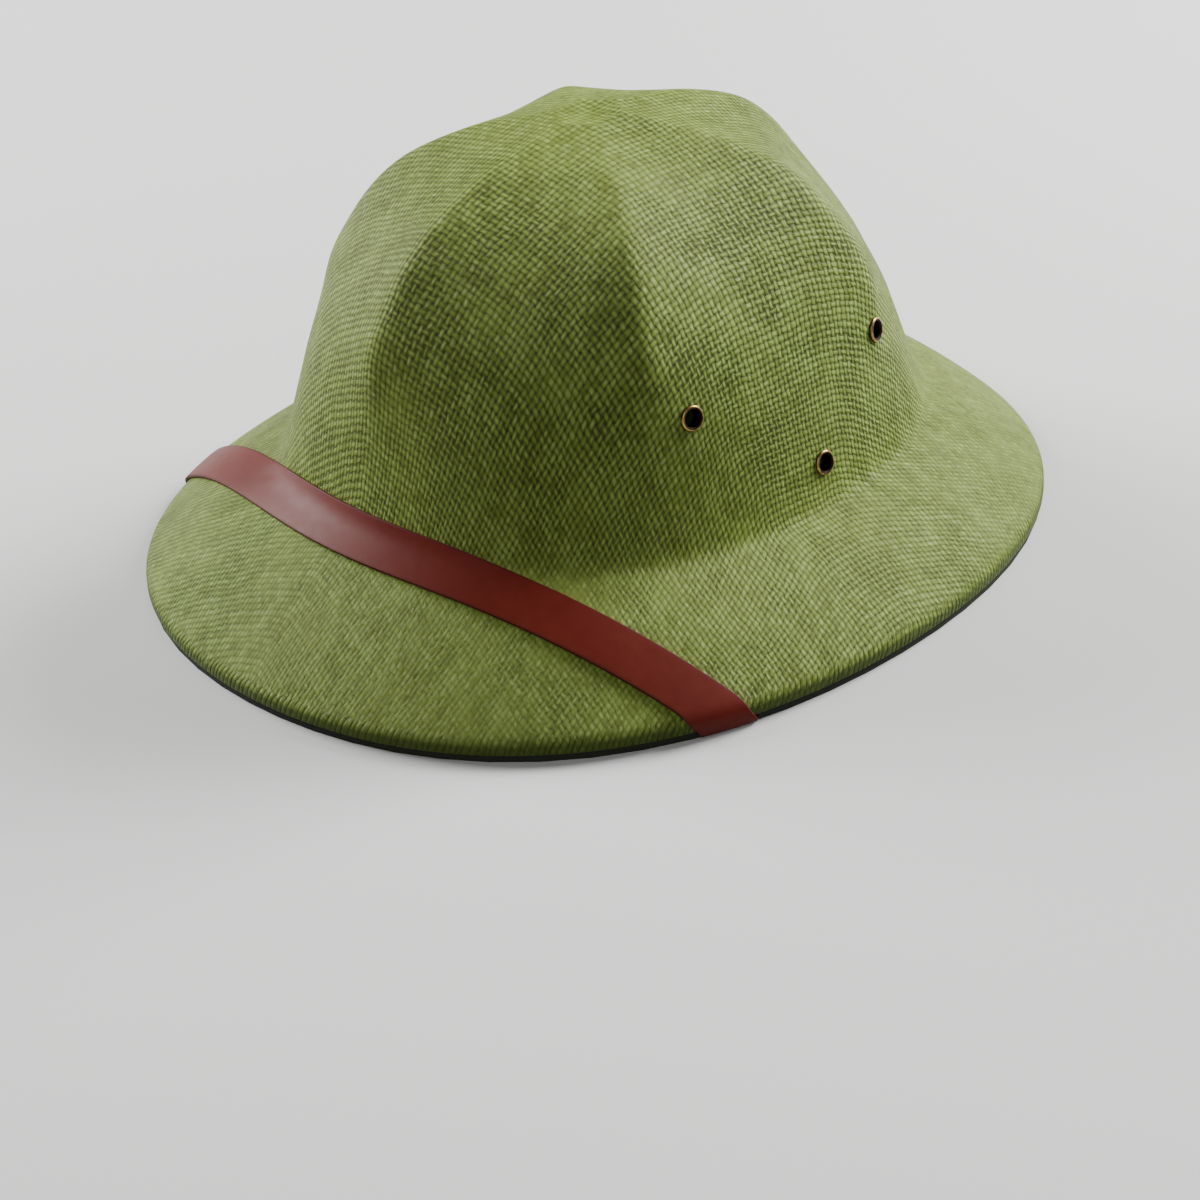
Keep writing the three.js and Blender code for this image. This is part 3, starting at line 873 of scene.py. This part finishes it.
def straw_material(settings):
    """Dyed straw cloth in plain weave, with uneven yarns, painted shade in the gaps and on the yarns'
    flanks, and painted glints.
    """
    material, graph, surface = new_material("woven_straw")
    patches = use_group(graph, "Mottle", Scale=16.0, Contrast=1.6)["Patches"]
    # Pressed straw has wider yarns, and less of the colours and the relief that set them apart
    calm = graph.times(graph.stored("pressed"), graph.weigh(0.6, (patches, 0.5)))
    lively = graph.less(1, graph.times(calm, 0.55))
    width = graph.weigh(0.37, (calm, 0.1))
    weave = use_group(
        graph, "Plain weave", Yarns=graph.uv("weave"), Waviness=0.6, Yarn_width=width, Crimp=0.28, Slubs=0.9)
    # Painted light on each yarn: low on it the straw takes the painted shade colour, high on it the crest
    # colour with its painted highlight
    crest = graph.mix(calm, graph.stretch(weave["Height"], 0.28, 0.9), 0.5)
    cloud = graph.less(weave["Cloud"], 0.5)
    tone = graph.weigh(0.42, (cloud, 1.6), (weave["Tone"], 0.7), (weave["Streak"], 0.5))
    glint = graph.times(weave["Glint"], lively)
    straw = graph.colours(crest, settings.painted_shade, settings.crest)
    straw = graph.shaded(straw, tone, tone, graph.times(tone, tone))
    # Painted glints: the crests of some floats are lightened towards the pale highlight colour
    straw = graph.colours(graph.times(glint, 0.7), straw, settings.painted_glint)
    straw = graph.colours(graph.times(patches, 0.35), straw, settings.faded)
    # The short yarns take over from the weave where the straw is folded over the rim
    folded = graph.stored("fold")
    ribbed = graph.stretch(folded, 0.1, 0.4)
    ribs = use_group(graph, "Rim ribs", Rim=graph.uv("rim"))
    # Painted shade over the rim's shoulder and face, in the painted shade colour
    shadow = graph.times(graph.stretch(folded, 0.45, 1.0), 0.75)
    straw = graph.colours(shadow, straw, settings.painted_shade)
    # Painted shade in the gaps between the yarns, and between the ribs on the rim
    gap = graph.mix(ribbed, graph.times(weave["Gap"], lively), ribs["Gap"])
    graph.join(graph.colours(gap, straw, settings.gap), surface["Base Color"])
    rough = graph.weigh(0.6, (crest, -0.15), (weave["Streak"], 0.1), (glint, -0.15))
    graph.join(rough, surface["Roughness"])
    relief = graph.mix(ribbed, graph.times(weave["Height"], lively), ribs["Height"])
    relief = graph.weigh(relief, (weave["Streak"], 0.12))
    raise_surface(graph, surface, relief, settings.relief, 1.0)
    surface["Specular IOR Level"].default_value = 0.22
    surface["Sheen Weight"].default_value = 0.05
    surface["Sheen Roughness"].default_value = 0.5
    surface["Sheen Tint"].default_value = (0.6, 0.8, 0.3, 1)
    return material


def welt_material(settings):
    """Dark cloth of the folded welt."""
    material, graph, surface = new_material("welt_cloth")
    threads = graph.noise(graph.place(), scale=1400.0, detail=3.0, roughness=0.6)
    patches = use_group(graph, "Mottle", Scale=60.0, Contrast=1.2)["Patches"]
    shade = graph.weigh(0.6, (threads, 0.5), (patches, 0.3))
    graph.join(graph.shaded(settings.colour, shade, shade, shade), surface["Base Color"])
    graph.join(graph.weigh(0.75, (threads, 0.15)), surface["Roughness"])
    raise_surface(graph, surface, threads, 0.0003, 0.7)
    return material


def leather_material(settings):
    """Smooth leather with a fine grain, a soft gloss and burnished edges."""
    material, graph, surface = new_material("strap_leather")
    place = graph.place()
    pores = graph.noise(place, scale=1100.0)
    creases = graph.noise(place, scale=260.0, detail=5.0, roughness=0.6)
    patches = use_group(graph, "Mottle", Scale=38.0, Contrast=1.1)["Patches"]
    burnish = graph.stretch(graph.stored("edge"), 0.25, 1.0)
    shade = graph.weigh(0.72, (patches, 0.36), (creases, 0.2))
    face = graph.shaded(settings.colour, shade, shade, shade)
    leather = graph.colours(graph.times(burnish, 0.55), face, settings.edge)
    graph.join(leather, surface["Base Color"])
    rough = graph.weigh(0.33, (creases, 0.16), (patches, 0.1), (burnish, 0.1))
    graph.join(rough, surface["Roughness"])
    height = graph.sum(graph.times(pores, 0.4), graph.times(creases, 0.7))
    raise_surface(graph, surface, height, 0.00015, 0.35)
    surface["Specular IOR Level"].default_value = 0.21
    return material


def brass_material(settings):
    """Aged brass, bright on its roll and tarnished in its hollows."""
    material, graph, surface = new_material("aged_brass")
    spots = graph.noise(graph.place(), scale=900.0, detail=4.0, roughness=0.6)
    rubbed = graph.weigh(graph.stored("roll"), (graph.less(spots, 0.5), 0.9))
    shine = graph.stretch(rubbed, 0.25, 0.75)
    graph.join(graph.colours(shine, settings.tarnish, settings.colour), surface["Base Color"])
    graph.join(graph.weigh(0.55, (shine, -0.25)), surface["Roughness"])
    raise_surface(graph, surface, spots, 0.0001, 0.15)
    surface["Metallic"].default_value = 1.0
    return material


def offset_in(rings, wall):
    """Rings moved in by the wall along the surface's normal."""
    down = np.gradient(rings, axis=0)
    padded = np.concatenate([rings[:, -2:-1], rings, rings[:, 1:2]], axis=1)
    around = (padded[:, 2:] - padded[:, :-2]) / 2
    normal = np.cross(down, around)
    normal[0] = (0, 0, 1)
    normal /= np.linalg.norm(normal, axis=-1, keepdims=True)
    return rings - normal * wall


def pressed_share(turn, ring):
    """How smooth the straw is pressed at each place, by its turn and its ring from the centre."""
    brim = np.clip((ring - CAP_RINGS - CROWN_RINGS) / FILLET_RINGS, 0, 1)
    top = np.clip(1 - ring / TOP_RINGS, 0, 1)
    near = sum(((1 + np.cos(turn - place["turn"])) / 2) ** place["fall"] for place in PRESSED)
    pressed = brim * (PRESSED_LEAST + (1 - PRESSED_LEAST) * np.minimum(near, 1))
    return pressed + (1 - brim) * PRESSED_CROWN + top * PRESSED_TOP


def straw_mesh(settings):
    """The straw's outer face, folded rim and inner face in one mesh, with its yarns as UVs."""
    turn = np.linspace(0, 2 * math.pi, COLUMNS + 1)
    skin = skin_rings(turn)
    outer = np.concatenate([skin, rim_rings(turn)])
    inner = offset_in(skin, settings.wall)[:-1]
    kept = np.arange(len(inner) - 1, -1, -INNER_STEP)
    if kept[-1] != 0:
        kept = np.append(kept, 0)
    rings = np.concatenate([outer, inner[kept]])
    ring = np.concatenate([np.arange(len(outer)), kept])
    lengths = run_lengths(outer)[ring]
    fold = np.zeros((len(rings), 1))
    fold[len(skin): len(outer)] = 1
    fold[len(skin) - 1: len(skin) + SHOULDER_RINGS, 0] = np.linspace(0, 1, SHOULDER_RINGS + 1)
    bpy.ops.object.select_all(action="DESELECT")
    bpy.ops.mesh.primitive_grid_add(x_subdivisions=COLUMNS, y_subdivisions=len(rings) - 1, size=1)
    piece = bpy.context.object
    piece.name = piece.data.name = "straw_shell"
    piece.data.vertices.foreach_set("co", rings.astype(np.float32).ravel())
    yarns = read_yarns(*lay_yarns(), spread(turn[None], lengths))
    yarns /= (settings.warp_pitch, settings.weft_pitch)
    store_places(piece, piece.data.uv_layers[0], "weave", yarns)
    edge = oval(turn, BRIM_WIDTH, BRIM_LENGTH, BRIM_SQUARENESS)
    along = run_lengths(edge[:, None])[:, 0]
    along *= round(along[-1] / RIB_PITCH) * RIB_PITCH / along[-1]
    rim_places = np.stack(np.broadcast_arrays(along[None], lengths), -1)
    store_places(piece, piece.data.uv_layers.new(), "rim", rim_places)
    store(piece, "fold", np.broadcast_to(fold, lengths.shape))
    store(piece, "pressed", pressed_share(turn, ring[:, None]))
    piece.data.update()
    return piece


def eyelet_place(node):
    """An eyelet's outermost centre and its outward direction, from its CAD node."""
    points = np.array([vertex.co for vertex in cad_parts[node].data.vertices], float)
    points = np.unique(np.round(points, 7), axis=0)
    centre = points.mean(0)
    _, directions = np.linalg.eigh(np.cov((points - centre).T))
    axis = directions[:, 0]
    out = centre - np.array([0, CROWN_SETBACK, centre[2]])
    axis = axis * np.sign(axis @ out)
    reach = ((points - centre) @ axis).max()
    return Vector(centre + axis * reach), Vector(axis)


def seat(mesh, node):
    """Moves a mesh that stands on the Z axis to an eyelet's place."""
    place, axis = eyelet_place(node)
    lean = Vector((0, 0, 1)).rotation_difference(axis).to_matrix().to_4x4()
    mesh.transform(Matrix.Translation(place) @ lean)


class HELMET_OT_straw_shell(bpy.types.Operator):
    """Weave the crown, the brim and the folded rim"""
    bl_idname = "helmet.straw_shell"
    bl_label = "Straw shell"

    def execute(self, context):
        settings = context.scene.helmet.straw
        shell = straw_mesh(settings)
        in_edit(shell, merge, face_outwards)
        drills = []
        for node in EYELETS:
            bpy.ops.mesh.primitive_cylinder_add(vertices=32, radius=DRILL_RADIUS, depth=DRILL_DEPTH)
            drills.append(context.object)
            seat(context.object.data, node)
        bpy.ops.object.select_all(action="DESELECT")
        for drill in drills:
            drill.select_set(True)
        context.view_layer.objects.active = drills[0]
        bpy.ops.object.join()
        drill = context.object
        apply_modifier(shell, "BOOLEAN", object=drill, operation="DIFFERENCE", solver="EXACT")
        bpy.data.objects.remove(drill)
        in_edit(shell, lambda: merge(DRILLED_MERGE))
        bpy.ops.object.shade_smooth_by_angle(angle=SMOOTH_CORNER)
        finish_piece(shell, straw_material(settings), "straw", "woven_shell")
        return {"FINISHED"}


class HELMET_OT_edge_welt(bpy.types.Operator):
    """Round the dark welt under the rim"""
    bl_idname = "helmet.edge_welt"
    bl_label = "Edge welt"

    def execute(self, context):
        welt = copy_of_node("edge_welt", "rim_welt")
        round_edges(welt, WELT_ROUND, 3, WELT_CORNER)
        bpy.ops.object.shade_smooth_by_angle(angle=WELT_CORNER)
        finish_piece(welt, welt_material(context.scene.helmet.welt), "welting", "edge_welt")
        return {"FINISHED"}


def mark_edges(strap):
    """Stores how close each point lies to the strap's edges, 1 on them and 0 past their reach."""
    copy = copy_of_node("front_strap", "strap_edges")
    normals = {}
    for polygon in copy.data.polygons:
        for key in polygon.edge_keys:
            normals.setdefault(key, []).append(polygon.normal)
    sharp = []
    for key, (first, second) in normals.items():
        if first.angle(second) > STRAP_CORNER:
            start, end = (copy.data.vertices[i].co for i in key)
            steps = max(1, math.ceil((end - start).length / BURNISH_STEP))
            sharp += [start.lerp(end, k / steps) for k in range(steps)]
    bpy.data.objects.remove(copy)
    tree = KDTree(len(sharp))
    for index, point in enumerate(sharp):
        tree.insert(point, index)
    tree.balance()
    gaps = [tree.find(vertex.co)[2] for vertex in strap.data.vertices]
    store(strap, "edge", [max(0.0, 1 - gap / BURNISH_REACH) for gap in gaps])


class HELMET_OT_front_strap(bpy.types.Operator):
    """Finish the leather strap with rounded, burnished edges"""
    bl_idname = "helmet.front_strap"
    bl_label = "Front strap"

    def execute(self, context):
        settings = context.scene.helmet.strap
        strap = copy_of_node("front_strap", "leather_strap")
        round_edges(strap, settings.edge_round, 2, STRAP_CORNER)
        apply_modifier(strap, "SUBSURF", levels=2, render_levels=2)
        bpy.ops.object.shade_smooth()
        mark_edges(strap)
        finish_piece(strap, leather_material(settings), "leather", "front_strap")
        return {"FINISHED"}


def eyelet_profile():
    """The eyelet's closed section, radius by height, with its highest point at height 0."""
    middle, half = (FLANGE + HOLE) / 2, (FLANGE - HOLE) / 2
    arc = [math.pi * i / ROLL_STEPS for i in range(ROLL_STEPS + 1)]
    roll = [(middle + half * math.cos(a), ROLL_HEIGHT * math.sin(a) - ROLL_HEIGHT) for a in arc]
    back = -BARREL_LENGTH
    return roll + [
        (HOLE, back + LIP), (HOLE + LIP, back), (FLANGE - 2 * LIP, back), (FLANGE - LIP, back + LIP),
        (HOLE + 2 * LIP, back + 2 * LIP), (HOLE + 2 * LIP, -ROLL_HEIGHT),
    ]


def spin_profile():
    """An edit step that turns a section about the Z axis."""
    bpy.ops.mesh.spin(steps=SPIN_STEPS, angle=2 * math.pi, center=(0, 0, 0), axis=(0, 0, 1))


class HELMET_OT_eyelets(bpy.types.Operator):
    """Turn one brass eyelet and seat a copy at each place"""
    bl_idname = "helmet.eyelets"
    bl_label = "Brass eyelets"

    def execute(self, context):
        material = brass_material(context.scene.helmet.eyelet)
        profile = eyelet_profile()
        bpy.ops.object.select_all(action="DESELECT")
        bpy.ops.mesh.primitive_circle_add(vertices=len(profile), radius=FLANGE)
        master = context.object
        for vertex, (radius, height) in zip(master.data.vertices, profile):
            vertex.co = (radius, 0, height)
        in_edit(master, spin_profile, merge, face_outwards)
        bpy.ops.object.shade_smooth_by_angle(angle=SMOOTH_CORNER)
        x, y, z = np.array([vertex.co for vertex in master.data.vertices]).T
        outward = np.clip((np.hypot(x, y) - RUBBED_FROM) / RUBBED_WIDTH, 0, 1)
        store(master, "roll", np.clip(1 + z / RUBBED_WIDTH, 0, 1) * outward)
        for node in EYELETS:
            eyelet = bpy.data.objects.new("brass_" + node, master.data.copy())
            eyelet.data.name = eyelet.name
            context.scene.collection.objects.link(eyelet)
            seat(eyelet.data, node)
            finish_piece(eyelet, material, "brass", node)
        bpy.data.objects.remove(master)
        return {"FINISHED"}


class HELMET_OT_stage(bpy.types.Operator):
    """Lay the floor and place the lights and the camera"""
    bl_idname = "helmet.stage"
    bl_label = "Stage"

    def execute(self, context):
        settings = context.scene.helmet.stage
        bpy.ops.object.select_all(action="DESELECT")
        bpy.ops.mesh.primitive_plane_add(size=FLOOR_SIZE)
        floor = context.object
        floor.name = "floor"
        material, _, surface = new_material("pale_floor")
        surface["Base Color"].default_value = FLOOR_COLOUR
        surface["Roughness"].default_value = 0.9
        floor.data.materials.append(material)
        floor.visible_diffuse = False
        right = Vector((math.cos(settings.azimuth), math.sin(settings.azimuth), 0))
        away = Vector((-math.sin(settings.azimuth), math.cos(settings.azimuth), 0))
        place_camera(settings, right)
        for name, light in LIGHTS.items():
            place = right * light["right"] + away * light["away"] + Vector((0, 0, light["up"]))
            add_light(name, place, light["size"], getattr(settings, name))
        world = bpy.data.worlds.new("studio")
        world.use_nodes = True
        background = world.node_tree.nodes["Background"].inputs
        background["Color"].default_value = (1, 1, 1, 1)
        background["Strength"].default_value = settings.sky
        context.scene.world = world
        return {"FINISHED"}


def place_camera(settings, right):
    """The camera at the photograph's angle, with the frame shifted as the photograph's is."""
    azimuth, elevation, roll = settings.azimuth, settings.elevation, settings.roll
    flat = math.cos(elevation)
    back = Vector((math.sin(azimuth) * flat, -math.cos(azimuth) * flat, math.sin(elevation)))
    up = back.cross(right)
    across = right * math.cos(roll) + up * math.sin(roll)
    upward = up * math.cos(roll) - right * math.sin(roll)
    bpy.ops.object.camera_add()
    camera = bpy.context.object
    turned = Matrix((across, upward, back)).transposed()
    camera.matrix_world = Matrix.Translation(AIM + back * settings.distance) @ turned.to_4x4()
    camera.data.lens = LENS
    camera.data.shift_x = SHIFT_X
    camera.data.shift_y = SHIFT_Y
    bpy.context.scene.camera = camera


def add_light(name, place, size, power):
    """A square soft light that faces the hat."""
    bpy.ops.object.light_add(type="AREA", location=place)
    light = bpy.context.object
    light.name = name
    light.data.size = size
    light.data.energy = power
    light.rotation_euler = (place - AIM).to_track_quat("Z", "Y").to_euler()


class HELMET_PT_panel(bpy.types.Panel):
    """Lists the helmet's pieces and settings"""
    bl_idname = "HELMET_PT_panel"
    bl_label = "Pith Helmet"
    bl_space_type = "VIEW_3D"
    bl_region_type = "UI"
    bl_category = "Pith Helmet"

    def draw(self, context):
        settings = context.scene.helmet
        rows = (
            (HELMET_OT_straw_shell, settings.straw),
            (HELMET_OT_edge_welt, settings.welt),
            (HELMET_OT_front_strap, settings.strap),
            (HELMET_OT_eyelets, settings.eyelet),
            (HELMET_OT_stage, settings.stage),
        )
        for operator, group in rows:
            box = self.layout.box()
            box.operator(operator.bl_idname)
            for name in group.__annotations__:
                box.prop(group, name)


CLASSES = (
    StrawSettings, WeltSettings, StrapSettings, EyeletSettings, StageSettings, HelmetSettings,
    HELMET_OT_straw_shell, HELMET_OT_edge_welt, HELMET_OT_front_strap, HELMET_OT_eyelets, HELMET_OT_stage,
    HELMET_PT_panel,
)


def register():
    for each in CLASSES:
        bpy.utils.register_class(each)
    bpy.types.Scene.helmet = PointerProperty(type=HelmetSettings)


def unregister():
    del bpy.types.Scene.helmet
    for each in reversed(CLASSES):
        bpy.utils.unregister_class(each)


def main():
    """Builds the stage and every piece."""
    register()
    bpy.ops.helmet.stage()
    bpy.ops.helmet.straw_shell()
    bpy.ops.helmet.edge_welt()
    bpy.ops.helmet.front_strap()
    bpy.ops.helmet.eyelets()


if __name__ == "__main__":
    main()
